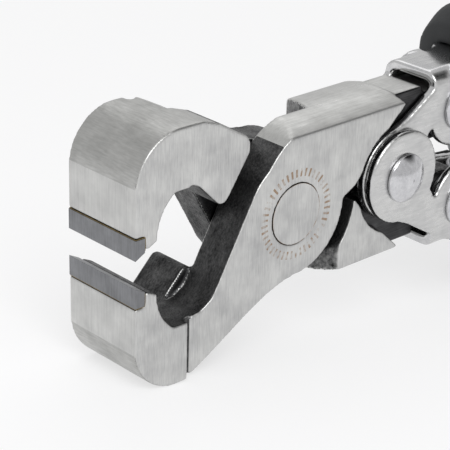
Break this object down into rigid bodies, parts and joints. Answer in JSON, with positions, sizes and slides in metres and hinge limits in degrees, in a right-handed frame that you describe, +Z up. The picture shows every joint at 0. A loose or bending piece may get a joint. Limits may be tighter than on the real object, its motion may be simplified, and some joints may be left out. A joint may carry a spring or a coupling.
{
  "type": "compound-action nippers",
  "caption": "Compound-action nippers: crossed forged jaws with carbide edges, driven by two sprung pressed-steel handles with moulded grips and a wire latch.",
  "frame": {"origin": "middle of the main pivot, where its axis meets the middle plane between the two jaws", "axes": "+X towards the handles, the cutting edges are at -X; Y along every pivot axis; +Z up, the way the jaws open"},
  "size_m": [0.2124, 0.0252, 0.0867],
  "materials": {
    "forged_steel": "forged, ground on the sides",
    "carbide": "sintered, ground",
    "braze": "dull",
    "rivet_steel": "ground flush",
    "bush_bronze": "oiled",
    "plated_steel": "bright plated",
    "spring_steel": "oiled wire",
    "grip_plastic": "fine matt moulding"
  },
  "bodies": {
    "lower_jaw": {"lower_jaw": "forged_steel", "lower_carbide_tip": "carbide", "lower_braze": "braze", "main_pivot_rivet": "rivet_steel", "upper_tang_bush": "bush_bronze"},
    "upper_jaw": {"upper_jaw": "forged_steel", "upper_carbide_tip": "carbide", "upper_braze": "braze", "lower_tang_bush": "bush_bronze"},
    "upper_handle": {"upper_handle": "plated_steel", "handle_pivot_rivet": "plated_steel", "handle_pivot_spacer": "rivet_steel", "upper_tang_rivet": "plated_steel", "upper_grip": "grip_plastic", "upper_spring_seat": "rivet_steel", "return_spring": "spring_steel", "latch_sleeve": "rivet_steel"},
    "lower_handle": {"lower_handle": "plated_steel", "lower_tang_rivet": "plated_steel", "lower_tang_spacers": "rivet_steel", "lower_grip": "grip_plastic", "lower_spring_seat": "rivet_steel", "latch_catch": "plated_steel"},
    "latch": {"latch_loop": "plated_steel"}
  },
  "joints": [
    {"name": "jaw_pivot", "type": "hinge", "parent": "lower_jaw", "child": "upper_jaw", "pos_m": [0, 0, 0], "axis": [0, 1, 0], "range_deg": [-7, 0], "stiffness_Nm_per_rad": 2, "springref_deg": 8.59},
    {"name": "upper_handle_pivot", "type": "hinge", "parent": "lower_jaw", "child": "upper_handle", "pos_m": [0.0412, 0, 0.0088], "axis": [0, -1, 0], "range_deg": [-5.4, 0]},
    {"name": "lower_handle_pivot", "type": "hinge", "parent": "upper_jaw", "child": "lower_handle", "pos_m": [0.0412, 0, -0.0088], "axis": [0, 1, 0], "range_deg": [-5.4, 0], "deforming": ["return_spring"]},
    {"name": "latch_pivot", "type": "hinge", "parent": "upper_handle", "child": "latch", "pos_m": [0.16, 0, 0.03624], "axis": [0, 1, 0], "range_deg": [0, 205]}
  ],
  "couplings": [
    {"joint": "upper_handle_pivot", "follows": "jaw_pivot", "ratio": 0.761},
    {"joint": "lower_handle_pivot", "follows": "jaw_pivot", "ratio": 0.761}
  ]
}
